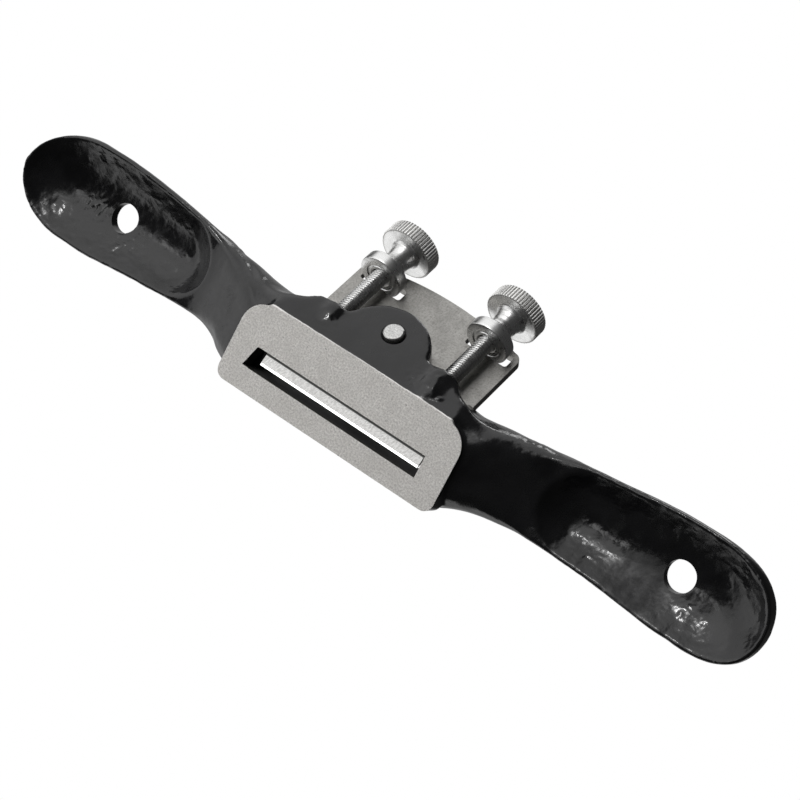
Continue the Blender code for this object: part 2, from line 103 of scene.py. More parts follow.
# casting
SOLE_HALF = 36.9
SOLE_FRONT = -8.5
SOLE_BACK = 16.4
SOLE_FRONT_CORNER = 3.0
SOLE_BACK_CORNER = 7.0
FOOT_HEIGHT = 6.0
SLAB_THICK = 8.9
SLAB_TOP = 0.7
SLAB_END = 20.7
SLAB_HALF = 31.0
LOBE_TOP = 0.5
LOBE_RADIUS = 13.9
LOBE_CENTRE = 16.7
BOSS_RADIUS = {1: 5.6, -1: 6.1}
BOSS_ROOT = 4.5
BOSS_FROM = {1: 12.5, -1: 9.0}
MOUTH_HALF = 28.6
MOUTH_FRONT = -2.1
MOUTH_BACK = 4.4
MOUTH_FLARE = 2.0
TOE_HEIGHT = 12.0
TOE_HALF = 32.0
TOE_ROUND = 2.5
TOE_STRAIGHT = 10.8
TOE_TOP = 3.8
HOLE_X = {1: 93.1, -1: 98.4}
HOLE_Y = 10.3
HOLE_RADIUS = 4.35
WEB = (
    (27.0, 6.7, 1.0),
    (27.0, 10.5, 4.8),
    (27.0, 5.0, 11.0),
    (31.3, 6.2, 1.1),
    (31.3, 10.2, 5.1),
    (41.0, 5.0, 3.6),
    (41.0, 8.0, 7.4),
    (41.0, 4.0, 9.5),
)

# handles: each row is a distance from the middle, then the front edge and the back edge there
EDGES = {
    1: (
        (27.0, -8.5, 19.9),
        (34.0, -8.6, 19.4),
        (37.0, -8.2, 19.5),
        (40.0, -7.1, 19.75),
        (43.5, -5.75, 20.15),
        (47.0, -3.7, 20.5),
        (51.0, -2.3, 20.9),
        (57.0, -1.4, 21.75),
        (64.0, -1.1, 23.3),
        (72.0, -1.65, 24.55),
        (81.0, -2.3, 25.7),
        (90.0, -3.2, 26.45),
        (98.0, -3.8, 26.85),
        (106.0, -3.8, 26.75),
    ),
    -1: (
        (27.0, -8.5, 19.9),
        (34.0, -8.2, 19.0),
        (37.0, -6.8, 19.35),
        (40.0, -5.6, 19.7),
        (43.5, -4.5, 20.1),
        (47.0, -3.8, 20.4),
        (51.0, -3.2, 20.9),
        (57.0, -2.6, 21.45),
        (64.0, -2.15, 22.7),
        (72.0, -2.25, 23.65),
        (81.0, -2.6, 24.7),
        (90.0, -3.2, 25.75),
        (98.0, -3.85, 26.25),
        (106.0, -4.0, 26.2),
    ),
}
HANDLE_ROOT = 27.0
NECK = 57.0
WIDEST = 106.0
TIP = {1: 127.1, -1: 126.1}
TIP_POWER = {1: 1.95, -1: 2.3}
TIP_DRIFT = {1: -0.04, -1: -0.07}
HANDLE_END = 126.6
RIM_ROOT = 0.5
RIM_RISE = 10.0
RIM_DROOP = 0.8
RISE_FROM = 32.0
RISE_TO = 60.0
RISE_SOFT = 7.0
CROWN_ROOT = 19.0
CROWN_RISE = 0.5
CROWN_START = 92.0
CROWN_DROOP = 4.5
WALL_ROOT = 10.5
WALL_NECK = 4.5
WALL_THIN = 1.2
WALL_TIP = 4.4
EDGE_ROUND = 0.8
DOME_POWER = 0.95
RIM_WIDTH = 0.7
HOLLOW_DEPTH = 7.0
HOLLOW_START = 58.0
HOLLOW_RUN = 11.0
HOLLOW_POWER = 1.15

# lever cap and its screws
SCREW_X = -0.8
SCREW_AT = 21.7
SCREW_RADIUS = 2.85
SCREW_HEAD = 5.3
SCREW_HEAD_HEIGHT = 3.2
PIN_PROUD = 1.1
CAP_HALF = 25.0
CAP_REAR_HALF = 8.5
CAP_FROM = 0.6
CAP_TO = 38.5
CAP_TOP = 6.6
CAP_HOLLOW = 1.4
CAP_LIP = 1.0
KEYHOLE_SLIDE = 8.0
KEYHOLE_RADIUS = 5.9
KEYHOLE_NARROW = 3.15
THUMB_AT = 33.0
THUMB_RADIUS = 2.35
THUMB_HEAD = 5.5
THUMB_UNDER = 7.2
THUMB_TOP = 11.0
THUMB_KNURLS = 36

# surface of the casting, in the part's frame: soft corners between slab and handles, then its flaws;
# a blemish is a place, its reach and the height of its bumps, and a dull spot a place, its reach and
# how much rougher it is; LUMPS and PITS are height, bumps in a millimetre and seed; FLATTEN makes
# height count for less in how far a point is from a crease or scar, which fade over FLAW_REACH
CAST_VOXEL = 0.45
CAP_VOXEL = 0.4
LUMPS = ((0.09, 0.16, 1), (0.035, 0.45, 2))
PITS = ((0.10, 0.34, 3), (0.04, 0.95, 4))
CAP_LUMPS = ((0.07, 0.2, 5), (0.03, 0.7, 6))
RIPPLE = ((1.0, 1.0, 7),)
FLATTEN = np.array((1.0, 1.0, 0.4))
FLAW_REACH = 0.6
CREASE_DEPTH = 0.26
CREASE_LIP = 0.10
LIP_AT = 1.3
SCAR_HEIGHT = 0.34
SLAB_CORNERS = tuple(((side * 31.0, 10.4, 7.0), (side * 31.5, 6.6, 2.0)) for side in (1, -1))
CREASE = ((52.7, 11.0, 13.8), (47.8, 10.3, 10.9), (43.0, 8.7, 7.1), (38.6, 6.3, 3.7), (37.0, 5.0, 2.8))
SCAR = ((-19.7, 12.7, 4.7), (-20.9, 10.1, 2.2), (-22.2, 7.8, 1.1), (-24.0, 8.6, 2.4))
BLEMISHES = (
    ((14.0, 9.4, 3.0), 3.2, 0.12),
    ((-14.3, 9.6, 3.2), 3.0, 0.20),
    ((-48.0, 10.1, 10.5), 5.0, 0.14),
    ((103.0, -2.0, 16.2), 5.0, 0.28),
    ((89.0, -5.3, 14.6), 5.0, 0.26),
    ((-75.0, -8.3, 13.0), 4.5, 0.10),
    ((-104.5, -4.5, 15.4), 3.0, 0.16),
)
DULL_SPOTS = (((-90.5, -7.0, 13.5), 8.0, 0.30),)

# light by direction: strength of the band and of what is overhead, then the edges of the lit side
# as direction, share and half their softness, dark panels as direction, angle across from the
# middle and half their soft edge, in degrees, and glows as the same with a strength
BAND = 1.05
OVERHEAD = 0.45
LIT_EDGES = (
    ((0.996, -0.087, 0.0), 0.0, 0.12),
    ((0.458, 0.458, 0.763), -0.415, 0.06),
)
DARK_PANELS = (((0.96, 0.05, 0.28), 24.0, 7.0),)
GLOWS = (
    ((0.38, 0.05, -0.92), 6.0, 4.0, 2.5),
    ((0.45, 0.50, -0.74), 22.0, 14.0, 0.45),
)

# softboxes as name, direction, distance and size in metres, and watts; then the camera's lens, where
# it stands, and its axes to the right, up and back
SOFTBOXES = (
    ("key", (0.25, 0.70, -0.67), 1.8, 0.11, 3.0),
    ("top", (0.2, 0.75, 0.63), 1.6, 0.5, 3.0),
)
CAMERA_LENS = 103.42
CAMERA_AT = (-242.75, 130.84, -535.16)
CAMERA_AXES = (
    Vector((-0.77602071, 0.45349632, 0.43832972)),
    Vector((0.50152358, 0.86511444, -0.00714879)),
    Vector((-0.38244732, 0.21428509, -0.89878582)),
)

BED_START = Vector((0.0, BED_BACK - ORIGIN_BACK, 0.0))
ACROSS = Vector((1.0, 0.0, 0.0))
ALONG = Vector((0.0, math.cos(BED_ANGLE), math.sin(BED_ANGLE)))
ABOVE = ACROSS.cross(ALONG)


# ---- frames and meshes


def axes_matrix(origin, first, second, third):
    """World matrix, in metres, of a frame whose origin is given in millimetres."""
    matrix = Matrix.Identity(4)
    for column, axis in enumerate((first, second, third)):
        for row in range(3):
            matrix[row][column] = axis[row]
    for row in range(3):
        matrix[row][3] = origin[row] * MM
    return matrix


def bed_point(across, along, above):
    """A point given from the blade's underside: across X, up the bed, and off the bed."""
    return BED_START + ACROSS * across + ALONG * along + ABOVE * above


def bed_frame(across=0.0, along=0.0, above=0.0):
    return axes_matrix(bed_point(across, along, above), ACROSS, ALONG, ABOVE)


def along_frame(across, along, above):
    """Frame whose Z runs up the bed."""
    return axes_matrix(bed_point(across, along, above), ACROSS, -ABOVE, ALONG)


def placed(name, data, matrix=None):
    """A new object for a mesh, light or camera, linked to the scene."""
    obj = bpy.data.objects.new(name, data)
    bpy.context.scene.collection.objects.link(obj)
    if matrix is not None:
        obj.matrix_world = matrix
    return obj


def mesh_from(name, work):
    """A mesh from a bmesh, which is freed."""
    mesh = bpy.data.meshes.new(name)
    work.to_mesh(mesh)
    work.free()
    return mesh


def loft(name, rings, matrix=None, closed=False):
    """An object from rings of equally many points, in millimetres of its own frame.
    Each end gets a face, unless closed is set, which joins the last ring to the first."""
    count = len(rings[0])
    last = len(rings) - 1
    faces = []
    for lower in range(len(rings) if closed else last):
        upper = (lower + 1) % len(rings)
        a, b = lower * count, upper * count
        for k in range(count):
            j = (k + 1) % count
            faces.append([a + k, b + k, b + j, a + j])
    if not closed:
        faces.append(list(range(count)))
        faces.append(list(range(last * count, (last + 1) * count)))
    mesh = bpy.data.meshes.new(name)
    mesh.from_pydata((np.concatenate(rings) * MM).tolist(), [], faces)
    work = bmesh.new()
    work.from_mesh(mesh)
    bmesh.ops.recalc_face_normals(work, faces=work.faces)
    work.to_mesh(mesh)
    work.free()
    return placed(name, mesh, matrix)


def prism(name, outline, low, high, matrix=None):
    """Outline in the frame's XY plane, extruded along its Z from low to high."""
    return loft(name, [[(x, y, z) for x, y in outline] for z in (low, high)], matrix)


def side_prism(name, outline, low, high):
    """Outline of (y from the edge, z) extruded along X."""
    matrix = axes_matrix((0.0, -ORIGIN_BACK, 0.0), Vector((0, 1, 0)), Vector((0, 0, 1)), ACROSS)
    return prism(name, outline, low, high, matrix)


def turned(name, profile, segments, matrix, hollow=False, shape=None):
    """Profile of (radius, height) turned about the frame's Z; shape may change a ring's radii."""
    angles = 2.0 * math.pi * np.arange(segments) / segments
    rings = []
    for index, (radius, height) in enumerate(profile):
        radii = np.full(segments, float(radius))
        if shape is not None:
            radii = shape(index, radii, angles)
        places = (radii * np.cos(angles), radii * np.sin(angles), np.full(segments, height))
        rings.append(np.stack(places, 1))
    return loft(name, rings, matrix, hollow)


def cylinder(name, radius, low, high, matrix, segments=64):
    return turned(name, [(radius, low), (radius, high)], segments, matrix)


def apply_modifiers(obj):
    bpy.context.view_layer.update()
    graph = bpy.context.evaluated_depsgraph_get()
    made = bpy.data.meshes.new_from_object(obj.evaluated_get(graph))
    obj.modifiers.clear()
    obj.data = made
    return obj


def combine(base, others, operation, solver="MANIFOLD"):
    """Boolean of base with each of the others, made real; the others are removed."""
    for other in others:
        modifier = base.modifiers.new("cut", "BOOLEAN")
        modifier.operation = operation
        modifier.solver = solver
        modifier.object = other
        apply_modifiers(base)
        bpy.data.objects.remove(other, do_unlink=True)
    return base


def joined(name, parts):
    """One object in world space from several closed meshes, which may overlap."""
    work = bmesh.new()
    bpy.context.view_layer.update()
    for part in parts:
        part.data.transform(part.matrix_world)
        work.from_mesh(part.data)
        bpy.data.objects.remove(part, do_unlink=True)
    return placed(name, mesh_from(name, work))


def remeshed(obj, voxel):
    modifier = obj.modifiers.new("voxels", "REMESH")
    modifier.mode = "VOXEL"
    modifier.voxel_size = voxel * MM
    return apply_modifiers(obj)


def points_of(mesh):
    """Vertices of a mesh, in millimetres."""
    flat = np.empty(len(mesh.vertices) * 3, np.float32)
    mesh.vertices.foreach_get("co", flat)
    return flat.reshape(-1, 3).astype(float) / MM


def set_points(mesh, points):
    mesh.vertices.foreach_set("co", (points * MM).astype(np.float32).ravel())
    mesh.update()


def normals_of(mesh):
    flat = np.empty(len(mesh.vertices) * 3, np.float32)
    mesh.vertex_normals.foreach_get("vector", flat)
    return flat.reshape(-1, 3).astype(float)


def relax(mesh, rounds, weight):
    """Moves each vertex towards the middle of its neighbours, by weight (one per vertex)."""
    ends = np.empty(len(mesh.edges) * 2, np.int32)
    mesh.edges.foreach_get("vertices", ends)
    a, b = ends.reshape(-1, 2).T
    points = points_of(mesh)
    count = len(points)
    degree = np.bincount(a, minlength=count) + np.bincount(b, minlength=count)
    for _ in range(rounds):
        total = np.empty_like(points)
        for axis in range(3):
            total[:, axis] = np.bincount(a, points[b, axis], count)
            total[:, axis] += np.bincount(b, points[a, axis], count)
        points += weight[:, None] * (total / degree[:, None] - points)
    set_points(mesh, points)


def arc(centre, radius, start, end, steps):
    """Points on an arc, angles in degrees."""
    points = []
    for k in range(steps + 1):
        angle = math.radians(start + (end - start) * k / steps)
        points.append((centre[0] + radius * math.cos(angle), centre[1] + radius * math.sin(angle)))
    return points


def ease(values, start, run):
    """0 before start, 1 after start + run, and smooth in between, for a number or an array."""
    share = np.clip((values - start) / run, 0.0, 1.0)
    return share * share * (3.0 - 2.0 * share)


def bumps(points, layers):
    """Smooth noise at each point: a sum of layers, each a height, bumps in a millimetre and a seed."""
    total = np.zeros(len(points))
    for height, scale, seed in layers:
        shift = Vector((seed * 17.3, seed * 5.1, seed * 9.7))
        total += height * np.array([noise.noise(Vector(p) * scale + shift) for p in points])
    return total


# ---- shape of the casting


def ramp(x, start, end, soft):
    """0 before start, 1 after end, and straight in between apart from a bend at each end."""

    def area(run):
        if run <= 0.0:
            return 0.0
        return run * run / (2.0 * soft) if run < soft else run - soft / 2.0

    return (area(x - start) - area(x - end + soft)) / (end - start - soft)


def curve(x, places, values):
    """Smooth curve through the values at the given places."""
    slopes = np.gradient(values, places)
    i = min(max(int(np.searchsorted(places, x)) - 1, 0), len(places) - 2)
    run = places[i + 1] - places[i]
    share = min(1.0, max(0.0, (x - places[i]) / run))
    value = values[i] + (values[i + 1] - values[i]) * ease(share, 0.0, 1.0)
    leave = slopes[i] * share * (1.0 - share) ** 2
    arrive = slopes[i + 1] * share**2 * (share - 1.0)
    return value + run * (leave + arrive)


def handle_plan(x, side, inset=0.0):
    """The handle's middle and half its width, front to back, at a distance x from the middle."""
    places, fronts, backs = (np.array(column) for column in zip(*EDGES[side]))
    front = curve(min(x, WIDEST), places, fronts)
    back = curve(min(x, WIDEST), places, backs)
    beyond = max(0.0, x - WIDEST)
    mid = 0.5 * (front + back) + TIP_DRIFT[side] * beyond
    power = TIP_POWER[side]
    out = beyond / (TIP[side] - inset - WIDEST)
    half = (0.5 * (back - front) - inset) * max(0.0, 1.0 - out**power) ** (1.0 / power)
    return mid, half


def rim_height(x):
    out = max(0.0, x - NECK) / (HANDLE_END - NECK)
    rise = ramp(x, RISE_FROM, RISE_TO, RISE_SOFT)
    return RIM_ROOT + (RIM_RISE - RIM_ROOT) * rise - RIM_DROOP * out**2


def crown_height(x):
    out = max(0.0, x - CROWN_START) / (HANDLE_END - CROWN_START)
    return CROWN_ROOT + CROWN_RISE * ease(x, 40.0, 28.0) - CROWN_DROOP * out**2


def wall_height(x):
    wall = WALL_ROOT + (WALL_NECK - WALL_ROOT) * ease(x, 34.0, NECK - 34.0)
    wall += (WALL_THIN - WALL_NECK) * ease(x, NECK, 8.0)
    return wall + (WALL_TIP - WALL_THIN) * ease(x, 98.0, 26.0)


def edge_round(x):
    return EDGE_ROUND + 5.5 * (1.0 - ease(x, 45.0, 16.0)) + 3.4 * (1.0 - ease(x, 34.0, 8.0))


def hollow_depth(x, side, reach, across):
    """Depth of the thumb hollow under the handle, at a distance across from its middle."""
    if reach <= 0.0:
        return 0.0
    end = max(0.0, (HOLLOW_START + HOLLOW_RUN - x) / HOLLOW_RUN)
    share = (across / reach) ** 2 + end**2
    if share >= 1.0:
        return 0.0
    out = max(0.0, x - WIDEST) / (TIP[side] - RIM_WIDTH - WIDEST)
    return HOLLOW_DEPTH * (1.0 - out**2.5) * (1.0 - share) ** HOLLOW_POWER


def handle_section(x, side, over, under):
    """One closed loop of (y, z) round the handle: over the top, then back underneath."""
    mid, half = handle_plan(x, side)
    _, reach = handle_plan(x, side, RIM_WIDTH)
    low = rim_height(x)
    high = low + wall_height(x)
    loop = []
    for k in range(over + 1):
        angle = math.pi * k / over
        share = math.copysign(abs(math.cos(angle)) ** DOME_POWER, math.cos(angle))
        lift = math.sin(angle) ** DOME_POWER if 0 < k < over else 0.0
        loop.append((mid + half * share, high + (crown_height(x) - high) * lift))
    radius = min(edge_round(x), half)
    for k in range(1, under):
        share = -math.cos(math.pi * k / under)
        inside = max(0.0, 1.0 - half * (1.0 - abs(share)) / radius)
        edge = (high - low) * (1.0 - math.sqrt(1.0 - inside**2))
        loop.append((mid + half * share, low + edge + hollow_depth(x, side, reach, half * share)))
    return loop


def handle(side):
    """One handle as a loft of sections along X, from inside the sole block to the tip."""
    over = 40
    under = 72
    stations = list(np.linspace(HANDLE_ROOT, NECK, 40, endpoint=False))
    stations += list(NECK + (WIDEST - NECK) * np.linspace(0.0, 1.0, 70, endpoint=False) ** 1.2)
    tip = np.sin(0.5 * math.pi * np.linspace(0.0, 1.0, 36, endpoint=False))
    stations += list(WIDEST + (TIP[side] - WIDEST) * tip) + [TIP[side] - 0.004]
    rings = []
    for x in stations:
        section = handle_section(x, side, over, under)
        rings.append([(side * x, y - ORIGIN_BACK, z) for y, z in section])
    return loft("handle", rings)


def sole_outline():
    """Plan of the ground sole, as (x, y from the origin)."""
    front, back = SOLE_FRONT_CORNER, SOLE_BACK_CORNER
    outline = arc((SOLE_HALF - front, SOLE_FRONT + front), front, -90, 0, 12)
    outline += [(SOLE_HALF, 4.0)]
    outline += arc((SOLE_HALF - back, SOLE_BACK - back - 0.8), back, 0, 82, 18)
    outline += [(SOLE_HALF - 13.0, SOLE_BACK - 0.3), (0.0, SOLE_BACK)]
    mirrored = [(-x, y) for x, y in outline[-2::-1]]
    return [(x, y - ORIGIN_BACK) for x, y in outline + mirrored]


def web(side):
    """Metal that fills the corner between the end of the slab and the root of the handle."""
    work = bmesh.new()
    for x, y, z in WEB:
        work.verts.new((side * x * MM, y * MM, z * MM))
    made = bmesh.ops.convex_hull(work, input=work.verts)
    bmesh.ops.delete(work, geom=made["geom_interior"] + made["geom_unused"], context="VERTS")
    bmesh.ops.recalc_face_normals(work, faces=work.faces)
    return placed("web", mesh_from("web", work))


def stud_place(side):
    return side * STUD_X + STUD_SHIFT


def rough_casting():
    """The casting as it leaves the mould: every part runs into the next with a soft corner."""
    under = MOUTH_FRONT + FOOT_HEIGHT
    toe = [(SOLE_FRONT, -1.5), (under, -1.5), (under, TOE_HEIGHT)]
    toe += arc((SOLE_FRONT + TOE_ROUND, TOE_HEIGHT - TOE_ROUND), TOE_ROUND, 90, 180, 8)
    parts = [side_prism("toe", toe, -TOE_HALF, TOE_HALF)]
    parts.append(prism("foot", sole_outline(), -1.5, FOOT_HEIGHT))
    plan = [(SLAB_HALF, -12.0), (SLAB_HALF, 16.2), (28.0, 17.0), (25.2, 18.4)]
    plan += [(23.0, SLAB_END - 0.5), (20.5, SLAB_END)]
    plan += [(-x, y) for x, y in reversed(plan)]
    parts.append(prism("slab", plan, -SLAB_THICK, SLAB_TOP, bed_frame()))
    lobe = bed_frame(0.0, LOBE_CENTRE)
    parts.append(cylinder("lobe", LOBE_RADIUS, -SLAB_THICK, LOBE_TOP, lobe, 128))
    end = SLAB_END + 0.1
    for side in (1, -1):
        radius = BOSS_RADIUS[side]
        start = BOSS_FROM[side]
        boss = [(BOSS_ROOT, 4.0), (BOSS_ROOT, start), (radius, start + 4.0), (radius, end - 1.4)]
        boss += [(radius - 0.4, end - 0.5), (radius - 1.3, end)]
        parts.append(turned("boss", boss, 64, along_frame(stud_place(side), 0.0, -STUD_BELOW)))
        parts.append(handle(side))
        parts.append(web(side))
    return remeshed(joined("body_casting_cast", parts), CAST_VOXEL)


def distance_to(points, path):
    """Distance of each point from a line through the given places."""
    nearest = np.full(len(points), 1e9)
    for first, last in zip(path[:-1], path[1:]):
        start = np.asarray(first)
        run = np.asarray(last) - start
        share = np.clip((points - start) @ run / (run @ run), 0.0, 1.0)
        away = np.linalg.norm(points - start - share[:, None] * run, axis=1)
        nearest = np.minimum(nearest, away)
    return nearest


def soften_casting(obj):
    """Fillets where the parts meet, then the lumps and pits of sand-cast iron under thick enamel."""
    mesh = obj.data
    relax(mesh, 4, np.full(len(mesh.vertices), 0.5))
    points = points_of(mesh)
    x = np.abs(points[:, 0])
    clear = ease(points[:, 2], 1.2, 3.0)
    back = ease(points[:, 1], -6.0, 8.0)
    relax(mesh, 14, 0.5 * (1.0 - ease(x, 44.0, 14.0)) * clear * back)
    points = points_of(mesh)
    corner = np.minimum(distance_to(points, SLAB_CORNERS[0]), distance_to(points, SLAB_CORNERS[1]))
    relax(mesh, 90, 0.5 * (1.0 - ease(corner, 3.0, 4.5)) * clear)
    points = points_of(mesh)
    normals = normals_of(mesh)
    x = np.abs(points[:, 0])
    lumps = bumps(points, LUMPS)
    below = ease(-normals[:, 2], 0.0, 0.6) * ease(x, 58.0, 10.0)
    lumps += below * bumps(points, PITS)
    ripple = bumps(points, RIPPLE)
    crease = distance_to(points * FLATTEN, np.array(CREASE) * FLATTEN)
    lumps -= CREASE_DEPTH * np.exp(-((crease / FLAW_REACH) ** 2))
    lumps += CREASE_LIP * np.exp(-(((crease - LIP_AT) / 0.8) ** 2))
    for place, reach, height in BLEMISHES:
        away = np.linalg.norm(points - np.array(place), axis=1) / reach
        lumps += height * ripple * np.exp(-(away**2))
    scar = distance_to(points * FLATTEN, np.array(SCAR) * FLATTEN)
    lumps += (SCAR_HEIGHT + 0.15 * ripple) * np.exp(-((scar / FLAW_REACH) ** 2))
    lumps *= ease(points[:, 2], 0.5, 2.0)
    set_points(mesh, points + normals * lumps[:, None])
    return obj


def machined(obj):
    """The cuts made after casting: sole, mouth, bed, screw bore, stud bores and hanging holes."""
    back = MOUTH_BACK
    high = 60.0
    start = BED_BACK + GAP * math.sqrt(2.0)
    throat = [(MOUTH_FRONT, -2.0), (back, -2.0), (back, back - start), (start + high, high)]
    throat += [(SOLE_FRONT + TOE_TOP + 0.7, high), (SOLE_FRONT + TOE_TOP, TOE_HEIGHT)]
    throat += [(MOUTH_FRONT, TOE_STRAIGHT)]
    cuts = []
    for side in (1, -1):
        hole = (side * HOLE_X[side], HOLE_Y - ORIGIN_BACK, 0.0)
        spot = axes_matrix(hole, ACROSS, Vector((0, 1, 0)), Vector((0, 0, 1)))
        cuts.append(cylinder("hang_hole", HOLE_RADIUS, 0.0, 40.0, spot, 96))
    cuts.append(side_prism("throat", throat, -MOUTH_HALF, MOUTH_HALF))
    flare = [(MOUTH_HALF - 1.0, MOUTH_FRONT + 0.1), (MOUTH_HALF + MOUTH_FLARE, MOUTH_FRONT + 0.1)]
    flare += [(MOUTH_HALF + 0.1, back - 0.2), (MOUTH_HALF - 1.0, back - 0.2)]
    flare = [(x, y - ORIGIN_BACK) for x, y in flare]
    cuts.append(prism("flare", flare, -2.0, 5.0))
    bore = SCREW_RADIUS + RUNNING
    sink = [(bore, 5.0), (bore, 0.55 - SLAB_THICK), (bore + 0.55, -SLAB_THICK)]
    sink += [(bore + 1.6, -SLAB_THICK - 3.0)]
    cuts.append(turned("screw_bore", sink, 64, bed_frame(SCREW_X, SCREW_AT)))
    for side in (1, -1):
        frame = along_frame(stud_place(side), 0.0, -STUD_BELOW)
        cuts.append(cylinder("stud_bore", STUD_RADIUS + RUNNING, STUD_FROM - 0.4, 40.0, frame))
    below = [(-60.0, -40.0), (60.0, -40.0), (60.0, 0.0), (-60.0, 0.0)]
    cuts.append(side_prism("floor", below, -60.0, 60.0))
    return combine(obj, cuts, "DIFFERENCE")


def casting():
    """The finished casting: black enamel, the sole ground bare, and dark walls in the mouth."""
    obj = machined(soften_casting(rough_casting()))
    mesh = obj.data
    mesh.materials.clear()
    mesh.materials.append(enamel("cast_black_enamel", worn=True))
    mesh.materials.append(ground_steel())
    mesh.materials.append(sooty_iron())
    front = (MOUTH_FRONT - ORIGIN_BACK - 0.2) * MM
    rear = (MOUTH_BACK - ORIGIN_BACK + 0.2) * MM
    reach = (MOUTH_HALF + MOUTH_FLARE + 0.2) * MM
    for face in mesh.polygons:
        place = face.center
        if face.normal.z < -0.999 and abs(place.z) < 0.01 * MM:
            face.material_index = 1
        elif abs(place.x) < reach and front < place.y < rear and abs(face.normal.z) < 0.6:
            face.material_index = 2
    return settle(obj, "body", "enamel", 38, "body_casting")


def settle(obj, body, slot, angle, *nodes):
    """Shading, body and the CAD nodes this piece stands for. The slot, a material slot's name, is not used.
    """
    obj.data.shade_smooth()
    obj.data.set_sharp_from_angle(angle=math.radians(angle))
    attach(obj, body)
    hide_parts(*nodes)
    return obj


# ---- cutter


def rounded_slot(name, across, half, start, end, corner):
    """Cutter for a slot through the blade with round corners."""
    left = across - half + corner
    right = across + half - corner
    low = start + corner
    high = end - corner
    outline = []
    for turn, centre in enumerate(((right, low), (right, high), (left, high), (left, low))):
        outline += arc(centre, corner, 90 * turn - 90, 90 * turn, 12)
    return prism(name, outline, -2.0, 12.0, bed_frame(BLADE_SHIFT))


def cutter():
    """The cutter in the bed's frame: ground bevel with a honed strip along the edge."""
    edge = EDGE_HEIGHT * math.sqrt(2.0) - BLADE_THICK
    slope = math.tan(BEVEL_ANGLE)
    hone_at = edge + HONE_WIDTH * math.cos(HONE_ANGLE)
    hone_low = BLADE_THICK - HONE_WIDTH * math.sin(HONE_ANGLE)
    heel = hone_at + hone_low / slope
    half = BLADE_WIDTH / 2.0
    centre = BLADE_REAR - BLADE_REAR_RADIUS
    side_end = centre + math.sqrt(BLADE_REAR_RADIUS**2 - (half - BLADE_CORNER) ** 2) - BLADE_CORNER
    rear = math.degrees(math.asin((half - BLADE_CORNER) / BLADE_REAR_RADIUS))
    outline = [(-half, edge), (half, edge)]
    outline += arc((half - BLADE_CORNER, side_end), BLADE_CORNER, 0, 70, 12)
    outline += arc((0.0, centre), BLADE_REAR_RADIUS, 90 - rear, 90 + rear, 60)
    outline += arc((BLADE_CORNER - half, side_end), BLADE_CORNER, 110, 180, 12)
    plate = prism("blade_ground", outline, 0.0, BLADE_THICK, bed_frame(BLADE_SHIFT))
    reach = half + 1.0
    beyond = edge - 1.0 / math.tan(HONE_ANGLE)
    wedge = [(heel + 1.0 / slope, -1.0), (hone_at, hone_low), (beyond, BLADE_THICK + 1.0), (edge - 6.0, -1.0)]
    side = axes_matrix(bed_point(BLADE_SHIFT, 0.0, 0.0), ALONG, ABOVE, ACROSS)
    cuts = [prism("bevel", wedge, -reach, reach, side)]
    for sign in (1, -1):
        at = stud_place(sign) - BLADE_SHIFT
        cuts.append(rounded_slot("slot", at, SLOT_WIDTH / 2.0, SLOT_FROM, SLOT_TO, 0.8))
    at = SCREW_X - BLADE_SHIFT
    cuts.append(rounded_slot("centre_slot", at, CENTRE_SLOT_HALF, CENTRE_SLOT_FROM, CENTRE_SLOT_TO, 3.6))
    combine(plate, cuts, "DIFFERENCE", "EXACT")
    broken = plate.modifiers.new("broken_edges", "BEVEL")
    broken.width = 0.14 * MM
    broken.segments = 2
    broken.limit_method = "ANGLE"
    broken.angle_limit = math.radians(50)
    apply_modifiers(plate)
    mesh = plate.data
    mesh.materials.clear()
    for made in (cutter_back(), cutter_bevel(), honed_edge()):
        mesh.materials.append(made)
    for face in mesh.polygons:
        lean = math.acos(max(-1.0, min(1.0, -face.normal.z)))
        if abs(face.normal.x) > 0.1 or face.normal.y > 0.0:
            continue
        if abs(lean - BEVEL_ANGLE) < math.radians(2.5):
            face.material_index = 1
        elif abs(lean - HONE_ANGLE) < math.radians(3.0):
            face.material_index = 2
    return settle(plate, "blade", "cutter_steel", 5, "blade")


# ---- studs, nuts and cap


def stud(label, side):
    """Threaded stud: a right-hand thread cut as a real helix, chamfered at its end."""
    rings = 1 + int((STUD_TO - STUD_FROM) / (THREAD_PITCH / 9.0))
    heights = np.linspace(STUD_FROM, STUD_TO, rings)

    def threaded(index, radii, angles):
        phase = (heights[index] / THREAD_PITCH - angles / (2.0 * math.pi)) % 1.0
        ridge = np.clip(1.0 - np.abs(phase - 0.5) * 2.6, -0.15, 0.85) + 0.15
        limit = radii - max(0.0, heights[index] - (STUD_TO - THREAD_CHAMFER))
        return np.minimum(radii - THREAD_DEPTH * (1.0 - ridge), limit)

    name = "stud_" + label
    frame = along_frame(stud_place(side), 0.0, -STUD_BELOW)
    profile = [(STUD_RADIUS, height) for height in heights]
    obj = turned(name + "_threaded", profile, 40, frame, shape=threaded)
    obj.data.materials.append(turned_steel("stud_steel", 0.84, 0.26))
    return settle(obj, "body", "bright_steel", 50, name)


def rounded(corners, radius, steps=4):
    """A closed profile with each corner replaced by a small curve of that reach."""
    made = []
    count = len(corners)
    for i in range(count):
        before, here, after = (Vector(corners[(i + d) % count][:2]) for d in (-1, 0, 1))
        reach = corners[i][2] if len(corners[i]) > 2 else radius
        reach = min(reach, 0.45 * (before - here).length, 0.45 * (after - here).length)
        first = here + (before - here).normalized() * reach
        last = here + (after - here).normalized() * reach
        for k in range(steps + 1):
            t = k / steps
            made.append(tuple(first * (1 - t) ** 2 + here * 2 * t * (1 - t) + last * t**2))
    return made


